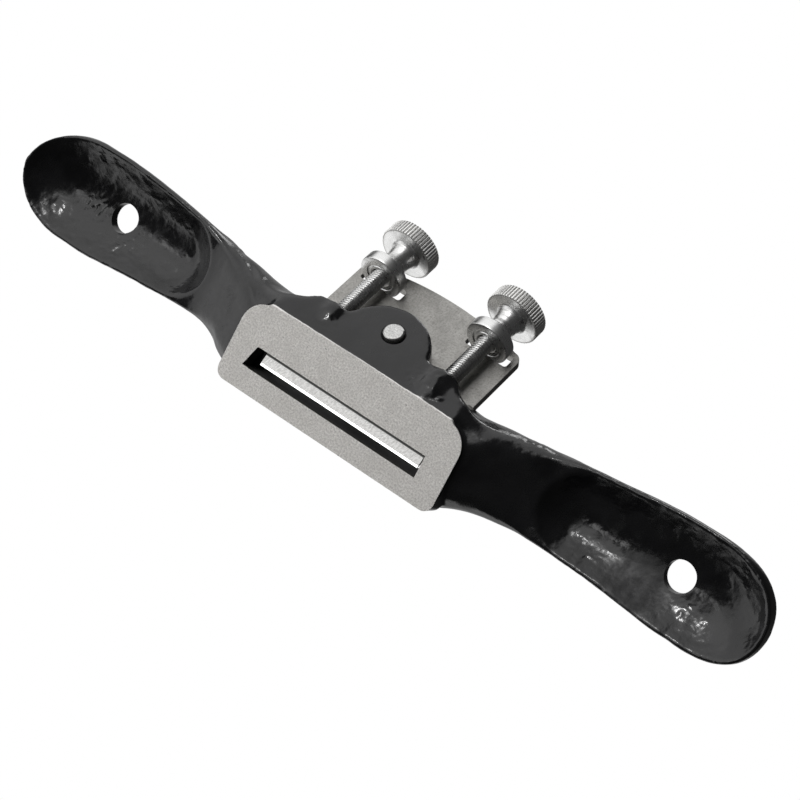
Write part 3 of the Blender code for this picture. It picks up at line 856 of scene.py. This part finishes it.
def knurling(profile, radius, low, high, count, shift, steep):
    """Shape for turned(): straight knurls round the rim, between two heights of the profile.
    A groove is a cosine wave, shifted and made steep, and kept between no depth and full depth."""
    on_rim = [low < height < high and wide > radius - KNURL_RIM for wide, height in profile]

    def knurled(index, radii, angles):
        if not on_rim[index]:
            return radii
        groove = np.clip(shift + steep * np.cos(count * angles), 0.0, 1.0)
        return np.minimum(radii, radius - KNURL_DEPTH * groove)

    return knurled


def nut(label, side):
    """Adjusting nut: turned flange and waisted neck, straight-knurled wheel."""
    bore = STUD_RADIUS + RUNNING
    flange = FLANGE_THICK
    wheel = WHEEL_FROM
    end = NUT_LENGTH
    corners = [(bore, 0.5), (bore + 0.5, 0.02), (3.7, 0.0), (3.85, 0.28), (4.35, 0.28), (4.5, 0.0)]
    corners += [(FLANGE_RADIUS, 0.0, 0.45), (FLANGE_RADIUS, flange, 0.3), (NECK_WIDE, flange, 0.1)]
    waist = np.linspace(0.0, 1.0, 13)
    for share in waist:
        radius = NECK_WIDE - (NECK_WIDE - NECK_WAIST) * math.sin(math.pi * share) ** 1.5
        ring = 0.05 * math.sin(7.0 * math.pi * share) if side < 0 else 0.0
        corners.append((radius + ring, flange + 0.8 + (wheel - flange - 1.6) * share))
    corners += [(NECK_WIDE + 0.75, wheel, 0.3), (WHEEL_RADIUS, wheel, 0.5)]
    corners += [(WHEEL_RADIUS, wheel + 0.9), (WHEEL_RADIUS, end - 0.9)]
    corners += [(WHEEL_RADIUS, end, 0.6), (6.9, end, 0.15), (6.6, end - 0.3, 0.1), (4.3, end - 0.3, 0.1)]
    corners += [(4.0, end, 0.15), (bore + 0.45, end, 0.1), (bore, end - 0.45, 0.1)]
    profile = rounded(corners, 0.12)
    knurled = knurling(profile, WHEEL_RADIUS, wheel + 0.1, end - 0.05, KNURLS, -0.2, 1.3)
    name = "nut_" + label
    frame = along_frame(stud_place(side), NUT_FROM, -STUD_BELOW)
    obj = turned(name + "_knurled", profile, KNURLS * 6, frame, hollow=True, shape=knurled)
    obj.data.materials.append(turned_steel("nut_steel", 0.88, 0.24, WHEEL_RADIUS))
    return settle(obj, name, "bright_steel", 32, name)


def lever_cap():
    """Enamelled cap over the cutter, with a keyhole for its screw."""
    face = BLADE_THICK + GAP
    hollow = face + CAP_HOLLOW
    frame = bed_frame(SCREW_X)
    flank = [(CAP_HALF, CAP_FROM), (CAP_HALF, CAP_FROM + 7.0), (CAP_HALF - 1.2, 13.0)]
    flank += [(CAP_HALF - 5.0, 18.5), (15.5, 23.5), (11.0, 28.0)]
    plan = list(flank)
    plan += arc((0.0, CAP_TO - CAP_REAR_HALF), CAP_REAR_HALF, 10, 170, 32)
    plan += [(-x, y) for x, y in reversed(flank)]
    cap = prism("lever_cap_enamelled", plan, 0.0, 20.0, frame)
    side = axes_matrix(bed_point(0.0, 0.0, 0.0), ALONG, ABOVE, ACROSS)
    beyond = CAP_TO + 4.0
    keep = [(-4.0, face), (CAP_FROM + 1.6, face), (5.0, hollow), (beyond, hollow)]
    keep += [(beyond, CAP_TOP - 0.6), (28.0, CAP_TOP), (12.0, CAP_TOP), (6.5, CAP_TOP - 0.5)]
    keep += [(CAP_FROM, face + CAP_LIP), (-4.0, face + CAP_LIP)]
    combine(cap, [prism("keep", keep, -40.0, 40.0, side)], "INTERSECT", "EXACT")
    remeshed(cap, CAP_VOXEL)
    relax(cap.data, 5, np.full(len(cap.data.vertices), 0.5))
    points = points_of(cap.data)
    normals = normals_of(cap.data)
    over = ease(points[:, 2], face + CAP_LIP, 1.5)
    lumps = over * bumps(points, CAP_LUMPS)
    set_points(cap.data, points + normals * lumps[:, None])
    wide = SCREW_AT - KEYHOLE_SLIDE
    narrow = [(-KEYHOLE_NARROW, wide), (KEYHOLE_NARROW, wide)]
    narrow += arc((0.0, SCREW_AT), KEYHOLE_NARROW, 0, 180, 32)
    cuts = [cylinder("keyhole", KEYHOLE_RADIUS, 0.0, 20.0, bed_frame(SCREW_X, wide), 96)]
    cuts.append(prism("keyway", narrow, 0.0, 20.0, frame))
    cuts.append(cylinder("thumb_bore", THUMB_RADIUS + RUNNING, 0.0, 20.0, bed_frame(SCREW_X, THUMB_AT)))
    combine(cap, cuts, "DIFFERENCE")
    cap.data.materials.clear()
    cap.data.materials.append(enamel("cap_black_enamel"))
    return settle(cap, "lever_cap", "cap_enamel", 38, "lever_cap")


def cap_screw():
    """Slotted screw that holds the cap; its plain end comes out under the lobe."""
    under = CAP_TOP + GAP
    tip = -SLAB_THICK - PIN_PROUD
    top = under + SCREW_HEAD_HEIGHT
    corners = [(0.3, tip, 0.02), (SCREW_RADIUS - 0.35, tip, 0.1), (SCREW_RADIUS, tip + 0.3, 0.1)]
    corners += [(SCREW_RADIUS, under, 0.1), (SCREW_HEAD, under, 0.25), (SCREW_HEAD, top - 0.9, 0.4)]
    corners += [(SCREW_HEAD - 1.3, top - 0.12, 0.5), (0.3, top, 0.02)]
    profile = [point for point in rounded(corners, 0.1) if point[0] > 0.25]
    frame = bed_frame(SCREW_X, SCREW_AT)
    screw = turned("cap_screw_slotted", profile, 96, frame)
    reach = SCREW_HEAD + 2.0
    driver = [(-reach, -0.6), (reach, -0.6), (reach, 0.6), (-reach, 0.6)]
    combine(screw, [prism("driver_slot", driver, top - 1.4, top + 2.0, frame)], "DIFFERENCE", "EXACT")
    screw.data.materials.clear()
    screw.data.materials.append(grained_steel())
    return settle(screw, "cap_screw", "bright_steel", 30, "cap_screw")


def cap_thumbscrew():
    """Knurled screw at the cap's rear that presses on the cutter."""
    tip = BLADE_THICK + GAP
    corners = [(0.3, tip, 0.02), (THUMB_RADIUS - 0.5, tip, 0.1), (THUMB_RADIUS, tip + 0.5, 0.1)]
    corners += [(THUMB_RADIUS, THUMB_UNDER, 0.1), (THUMB_HEAD, THUMB_UNDER, 0.35)]
    corners += [(THUMB_HEAD, THUMB_UNDER + 0.8), (THUMB_HEAD, THUMB_TOP - 0.8), (THUMB_HEAD, THUMB_TOP, 0.5)]
    corners += [(4.2, THUMB_TOP, 0.15), (3.9, THUMB_TOP - 0.3, 0.1), (0.3, THUMB_TOP - 0.3, 0.02)]
    profile = [point for point in rounded(corners, 0.1) if point[0] > 0.25]
    low = THUMB_UNDER + 0.05
    high = THUMB_TOP - 0.05
    knurled = knurling(profile, THUMB_HEAD, low, high, THUMB_KNURLS, 0.5, 0.9)
    frame = bed_frame(SCREW_X, THUMB_AT)
    obj = turned("cap_thumbscrew_knurled", profile, THUMB_KNURLS * 6, frame, shape=knurled)
    obj.data.materials.append(turned_steel("thumbscrew_steel", 0.66, 0.25, THUMB_HEAD))
    return settle(obj, "cap_thumbscrew", "bright_steel", 32, "cap_thumbscrew")


# ---- materials


def node(tree, kind, sockets=None, **settings):
    """A shader node; each socket takes a value or another node's output."""
    made = tree.nodes.new("ShaderNode" + kind)
    for key, value in settings.items():
        setattr(made, key, value)
    for key, value in (sockets or {}).items():
        if isinstance(value, bpy.types.NodeSocket):
            tree.links.new(value, made.inputs[key])
        else:
            made.inputs[key].default_value = value
    return made


def material(name, metallic=0.0):
    """A new material: its tree, its Principled shader and its object coordinates."""
    made = bpy.data.materials.new(name)
    made.use_nodes = True
    tree = made.node_tree
    shader = tree.nodes["Principled BSDF"]
    shader.inputs["Metallic"].default_value = metallic
    coords = node(tree, "TexCoord").outputs["Object"]
    return made, tree, shader, coords


def noise_of(tree, coords, scale, detail=3.0, rough=0.55, distortion=0.0):
    """Noise whose scale is in bumps per metre."""
    sockets = {"Vector": coords, "Scale": scale, "Detail": detail, "Roughness": rough}
    sockets["Distortion"] = distortion
    return node(tree, "TexNoise", sockets).outputs["Fac"]


def remap(tree, value, low, high, to_low, to_high):
    sockets = {"Value": value, "From Min": low, "From Max": high, "To Min": to_low, "To Max": to_high}
    return node(tree, "MapRange", sockets, interpolation_type="SMOOTHSTEP").outputs["Result"]


def blend(tree, share, first, second):
    made = node(tree, "Mix", {"Factor": share}, data_type="RGBA")
    for key, value in (("A", first), ("B", second)):
        socket = [s for s in made.inputs if s.name == key and s.type == "RGBA"][0]
        if isinstance(value, bpy.types.NodeSocket):
            tree.links.new(value, socket)
        else:
            socket.default_value = (*value, 1.0)
    return [s for s in made.outputs if s.type == "RGBA"][0]


def multiply(tree, first, second):
    return node(tree, "Math", {0: first, 1: second}, operation="MULTIPLY").outputs[0]


def add(tree, first, second):
    return node(tree, "Math", {0: first, 1: second}, operation="ADD").outputs[0]


def stretched(tree, coords, scale, angle=0.0):
    """Object coordinates scaled by a different amount along each axis, after a turn about Z."""
    sockets = {"Vector": coords, "Scale": scale, "Rotation": (0.0, 0.0, angle)}
    return node(tree, "Mapping", sockets, vector_type="TEXTURE").outputs["Vector"]


def bump(tree, height, strength, distance, normal=None):
    sockets = {"Height": height, "Strength": strength, "Distance": distance * MM}
    if normal is not None:
        sockets["Normal"] = normal
    return node(tree, "Bump", sockets).outputs["Normal"]


def surface(tree, shader, colour, rough=None, normal=None):
    """Links a shader's colour and, where they are given, its roughness and its normal."""
    for socket, output in (("Base Color", colour), ("Roughness", rough), ("Normal", normal)):
        if output is not None:
            tree.links.new(output, shader.inputs[socket])


def enamel(name, worn=False):
    """Thick black enamel over rough iron: glossy with duller patches, orange peel and small runs.
    Worn enamel shows bare iron along the sharp edge of the ground sole."""
    made, tree, shader, coords = material(name)
    broad = noise_of(tree, coords, 55.0, 3.0, 0.6, 0.4)
    patch = noise_of(tree, coords, 190.0, 4.0, 0.6, 0.6)
    fine = noise_of(tree, coords, 1100.0, 3.0)
    shade = remap(tree, broad, 0.35, 0.7, 0.0, 1.0)
    colour = blend(tree, shade, (0.006, 0.006, 0.0065), (0.015, 0.015, 0.016))
    rough = add(tree, remap(tree, patch, 0.35, 0.72, 0.10, 0.27), remap(tree, fine, 0.4, 0.7, 0.0, 0.05))
    if worn:
        height = node(tree, "SeparateXYZ", {"Vector": coords}).outputs["Z"]
        ragged = add(tree, height, multiply(tree, patch, -0.0005))
        bare = remap(tree, ragged, -0.00005, 0.0002, 1.0, 0.0)
        colour = blend(tree, bare, colour, (0.78, 0.77, 0.75))
        tree.links.new(bare, shader.inputs["Metallic"])
        rough = add(tree, rough, multiply(tree, bare, 0.2))
        for place, reach, extra in DULL_SPOTS:
            spot = {0: coords, 1: tuple(Vector(place) * MM)}
            away = node(tree, "VectorMath", spot, operation="DISTANCE").outputs["Value"]
            rough = add(tree, rough, remap(tree, away, 0.7 * reach * MM, 1.4 * reach * MM, extra, 0.0))
    peel = bump(tree, noise_of(tree, coords, 420.0, 2.0), 0.35, 0.25)
    surface(tree, shader, colour, rough, bump(tree, fine, 0.25, 0.08, peel))
    shader.inputs["IOR"].default_value = 1.5
    return made


def ground_steel():
    """The ground sole: matte grey iron, faintly mottled, with fine dark pores."""
    made, tree, shader, coords = material("ground_sole_iron", 1.0)
    cloud = noise_of(tree, coords, 170.0, 4.0, 0.6)
    grain = noise_of(tree, coords, 1900.0, 4.0, 0.8)
    pores = noise_of(tree, coords, 800.0, 4.0, 0.75)
    tone = blend(tree, remap(tree, grain, 0.34, 0.66, 0.0, 1.0), (0.64, 0.62, 0.595), (1.0, 0.985, 0.955))
    tone = blend(tree, remap(tree, cloud, 0.35, 0.7, 0.0, 0.3), tone, (0.70, 0.685, 0.66))
    tone = blend(tree, remap(tree, pores, 0.63, 0.70, 0.0, 0.75), tone, (0.22, 0.21, 0.20))
    rough = remap(tree, cloud, 0.3, 0.7, 0.60, 0.68)
    surface(tree, shader, tone, rough, bump(tree, grain, 0.5, 0.06))
    return made


def sooty_iron():
    """Walls of the mouth: rough dark iron that the grinding wheel doesn't reach."""
    made, tree, shader, coords = material("mouth_dark_iron")
    cloud = noise_of(tree, coords, 1100.0, 4.0, 0.7)
    tone = blend(tree, remap(tree, cloud, 0.35, 0.7, 0.0, 1.0), (0.012, 0.012, 0.0115), (0.06, 0.058, 0.055))
    rough = remap(tree, cloud, 0.3, 0.7, 0.65, 0.9)
    surface(tree, shader, tone, rough, bump(tree, cloud, 0.5, 0.1))
    shader.inputs["Specular IOR Level"].default_value = 0.25
    return made


def cutter_back():
    """Back of the cutter: mill scale and stains over steel, brighter along faint grinding lines."""
    made, tree, shader, coords = material("cutter_back_steel", 1.0)
    cloud = noise_of(tree, coords, 210.0, 5.0, 0.65, 0.5)
    stain = noise_of(tree, coords, 420.0, 4.0, 0.7)
    grain = noise_of(tree, coords, 1700.0, 4.0, 0.8)
    lines = noise_of(tree, stretched(tree, coords, (14.0, 1.0, 1.0)), 3200.0, 2.0)
    tone = blend(tree, remap(tree, cloud, 0.3, 0.7, 0.0, 1.0), (0.30, 0.294, 0.279), (0.39, 0.382, 0.364))
    tone = blend(tree, remap(tree, stain, 0.62, 0.8, 0.0, 0.7), tone, (0.12, 0.118, 0.112))
    tone = blend(tree, remap(tree, grain, 0.42, 0.66, 0.0, 0.6), tone, (0.17, 0.165, 0.158))
    rough = remap(tree, stain, 0.3, 0.7, 0.34, 0.52)
    scored = bump(tree, lines, 0.2, 0.02)
    surface(tree, shader, tone, rough, bump(tree, grain, 0.3, 0.03, scored))
    return made


def cutter_bevel():
    """Ground bevel: bright, with slanting wheel marks, and a painted shade, a dark band, along its heel."""
    made, tree, shader, coords = material("cutter_bevel_steel", 1.0)
    marks = noise_of(tree, stretched(tree, coords, (1.0, 9.0, 1.0), math.radians(28.0)), 2600.0, 3.0, 0.6)
    cloud = noise_of(tree, coords, 220.0, 3.0)
    tone = blend(tree, remap(tree, marks, 0.3, 0.7, 0.0, 1.0), (0.55, 0.545, 0.53), (0.86, 0.855, 0.84))
    tone = blend(tree, remap(tree, cloud, 0.5, 0.8, 0.0, 0.4), tone, (0.59, 0.585, 0.57))
    # painted shade: a dark band along the bevel's heel stands in for the shade in the gap at the mouth's back
    # edge
    height = node(tree, "SeparateXYZ", {"Vector": coords}).outputs["Z"]
    heel = remap(tree, height, HEEL_PAINTED_SHADE * MM, (HEEL_PAINTED_SHADE + 0.08) * MM, 0.92, 0.0)
    tone = blend(tree, heel, tone, (0.05, 0.05, 0.048))
    rough = remap(tree, marks, 0.3, 0.7, 0.46, 0.56)
    surface(tree, shader, tone, rough, bump(tree, marks, 0.3, 0.02))
    return made


def honed_edge():
    """Narrow honed strip along the edge: almost a mirror."""
    made, tree, shader, coords = material("honed_edge_steel", 1.0)
    marks = noise_of(tree, stretched(tree, coords, (12.0, 1.0, 1.0)), 3000.0, 2.0)
    tone = blend(tree, remap(tree, marks, 0.3, 0.7, 0.0, 1.0), (0.97, 0.97, 0.96), (1.0, 1.0, 0.995))
    rough = remap(tree, marks, 0.3, 0.7, 0.08, 0.16)
    surface(tree, shader, tone, rough)
    return made


def turned_steel(name, brightness, roughness, rim=None):
    """Bright lathe-turned steel: rings about the piece's own Z axis, and light handling stains.
    Near the rim's radius, in millimetres, it is lighter, and the bottoms of the knurls get a painted shade."""
    made, tree, shader, coords = material(name, 1.0)
    split = node(tree, "SeparateXYZ", {"Vector": coords})
    flat = node(tree, "CombineXYZ", {"X": split.outputs["X"], "Y": split.outputs["Y"]})
    radius = node(tree, "VectorMath", {0: flat.outputs["Vector"]}, operation="LENGTH").outputs["Value"]
    turning = {"W": add(tree, radius, split.outputs["Z"]), "Scale": 5200.0, "Detail": 2.0}
    rings = node(tree, "TexNoise", turning, noise_dimensions="1D").outputs["Fac"]
    cloud = noise_of(tree, coords, 420.0, 4.0, 0.65)
    grain = noise_of(tree, coords, 2800.0, 2.0, 0.7)
    low = brightness * 0.78
    tone = blend(tree, remap(tree, rings, 0.3, 0.7, 0.0, 1.0), (low, low, low * 0.985), (brightness,) * 3)
    dull = brightness * 0.6
    tone = blend(tree, remap(tree, cloud, 0.52, 0.8, 0.0, 0.55), tone, (dull, dull * 0.99, dull * 0.96))
    tone = blend(tree, remap(tree, grain, 0.5, 0.75, 0.0, 0.3), tone, (dull, dull * 0.99, dull * 0.97))
    if rim is not None:
        low = (rim - KNURL_DEPTH) * MM
        high = (rim - 0.15 * KNURL_DEPTH) * MM
        raised = remap(tree, radius, low, high, 1.0, 0.0)
        # painted shade: the bottoms of the knurls are darkened to stand in for the shade that falls in the
        # grooves
        groove = multiply(tree, raised, remap(tree, radius, low - 0.12 * MM, low - 0.04 * MM, 0.0, 0.5))
        edge = remap(tree, radius, low - 0.35 * MM, low - 0.1 * MM, 0.0, 1.0)
        tone = blend(tree, edge, tone, (0.93, 0.925, 0.91))
        tone = blend(tree, groove, tone, (0.06, 0.058, 0.055))
        roughness = add(tree, roughness, multiply(tree, edge, 0.22))
    rough = add(tree, roughness, remap(tree, cloud, 0.3, 0.75, 0.0, 0.16))
    surface(tree, shader, tone, rough, bump(tree, rings, 0.35, 0.02, bump(tree, grain, 0.15, 0.02)))
    return made


def grained_steel():
    """Bright screw steel with a cropped, grainy end."""
    made, tree, shader, coords = material("cap_screw_steel", 1.0)
    grain = noise_of(tree, coords, 2400.0, 4.0, 0.75)
    cloud = noise_of(tree, coords, 700.0, 3.0)
    tone = blend(tree, remap(tree, grain, 0.35, 0.65, 0.0, 1.0), (0.40, 0.40, 0.39), (0.70, 0.70, 0.69))
    rough = remap(tree, cloud, 0.3, 0.7, 0.26, 0.45)
    surface(tree, shader, tone, rough, bump(tree, grain, 0.6, 0.05))
    return made


# ---- stage


def camera():
    """Camera under the sole, where the picture is taken from."""
    data = bpy.data.cameras.new("camera")
    obj = placed("camera", data, axes_matrix(CAMERA_AT, *CAMERA_AXES))
    data.sensor_width = 36.0
    data.lens = CAMERA_LENS
    data.clip_start = 0.01
    data.clip_end = 100.0
    data.dof.use_dof = False
    bpy.context.scene.camera = obj


def only_for_camera(obj):
    for kind in ("diffuse", "glossy", "transmission", "volume_scatter", "shadow"):
        setattr(obj, "visible_" + kind, False)


def floor():
    """Pale floor the sole stands on. It is one-sided, so a view from below sees the sole."""
    obj = turned("floor", [(2500.0, -0.3), (2500.0, -0.2)], 96, Matrix.Identity(4))
    made, tree, shader, coords = material("pale_floor")
    cloud = noise_of(tree, coords, 3.0, 3.0)
    surface(tree, shader, blend(tree, cloud, (0.80, 0.80, 0.79), (0.86, 0.86, 0.85)))
    shader.inputs["Roughness"].default_value = 0.8
    side = node(tree, "NewGeometry").outputs["Backfacing"]
    clear = node(tree, "BsdfTransparent").outputs["BSDF"]
    mixed = node(tree, "MixShader", {0: side, 1: shader.outputs["BSDF"], 2: clear})
    tree.links.new(mixed.outputs["Shader"], tree.nodes["Material Output"].inputs["Surface"])
    mesh = obj.data
    work = bmesh.new()
    work.from_mesh(mesh)
    bmesh.ops.delete(work, geom=[f for f in work.faces if f.normal.z < 0.5], context="FACES")
    work.to_mesh(mesh)
    work.free()
    mesh.materials.append(made)
    only_for_camera(obj)


def backdrop():
    """White surround that only the camera sees."""
    work = bmesh.new()
    bmesh.ops.create_icosphere(work, subdivisions=4, radius=5.0)
    obj = placed("backdrop", mesh_from("backdrop", work))
    made = bpy.data.materials.new("white_backdrop")
    made.use_nodes = True
    tree = made.node_tree
    tree.nodes.clear()
    glow = node(tree, "Emission", {"Color": (1.0, 1.0, 1.0, 1.0), "Strength": 1.0})
    out = node(tree, "OutputMaterial")
    tree.links.new(glow.outputs["Emission"], out.inputs["Surface"])
    obj.data.materials.append(made)
    only_for_camera(obj)


def patch(tree, way, direction, angle, edge):
    """1 within an angle, in degrees, of a direction and 0 outside, over a soft edge."""
    towards = tuple(Vector(direction).normalized())
    share = node(tree, "VectorMath", {0: way, 1: towards}, operation="DOT_PRODUCT").outputs["Value"]
    outer = math.cos(math.radians(angle + edge))
    inner = math.cos(math.radians(angle - edge))
    return remap(tree, share, outer, inner, 0.0, 1.0)


def surround():
    """Soft light by direction: a bright band all round, with dark panels as in a product booth."""
    world = bpy.data.worlds.new("studio")
    bpy.context.scene.world = world
    world.use_nodes = True
    tree = world.node_tree
    tree.nodes.clear()
    way = node(tree, "TexCoord").outputs["Generated"]
    part = node(tree, "SeparateXYZ", {"Vector": way}).outputs
    light = remap(tree, part["Z"], 0.25, 0.6, BAND, OVERHEAD)
    for direction, middle, soft in LIT_EDGES:
        side = tuple(Vector(direction).normalized())
        share = node(tree, "VectorMath", {0: way, 1: side}, operation="DOT_PRODUCT").outputs["Value"]
        light = multiply(tree, light, remap(tree, share, middle - soft, middle + soft, 0.0, 1.0))
    for direction, angle, edge in DARK_PANELS:
        panel = patch(tree, way, direction, angle, edge)
        kept = node(tree, "Math", {0: 1.0, 1: panel}, operation="SUBTRACT").outputs[0]
        light = multiply(tree, light, kept)
    for direction, angle, edge, strength in GLOWS:
        light = add(tree, light, multiply(tree, patch(tree, way, direction, angle, edge), strength))
    glow = node(tree, "Background", {"Color": (1.0, 1.0, 1.0, 1.0), "Strength": add(tree, light, 0.04)})
    out = node(tree, "OutputWorld")
    tree.links.new(glow.outputs["Background"], out.inputs["Surface"])


def softbox(name, direction, distance, size, power):
    """Square area light that faces the middle of the shave."""
    data = bpy.data.lights.new(name, "AREA")
    data.shape = "SQUARE"
    data.size = size
    data.energy = power
    obj = placed(name, data)
    way = Vector(direction).normalized()
    obj.location = way * distance
    obj.rotation_mode = "QUATERNION"
    obj.rotation_quaternion = way.to_track_quat("Z", "Y")
    obj.visible_camera = False


def main():
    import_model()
    casting()
    cutter()
    for label, side in (("left", 1), ("right", -1)):
        stud(label, side)
        nut(label, side)
    lever_cap()
    cap_screw()
    cap_thumbscrew()
    camera()
    floor()
    backdrop()
    surround()
    for name, *settings in SOFTBOXES:
        softbox(name, *settings)
    bpy.context.scene.view_settings.view_transform = "Standard"
    bpy.context.view_layer.update()


main()
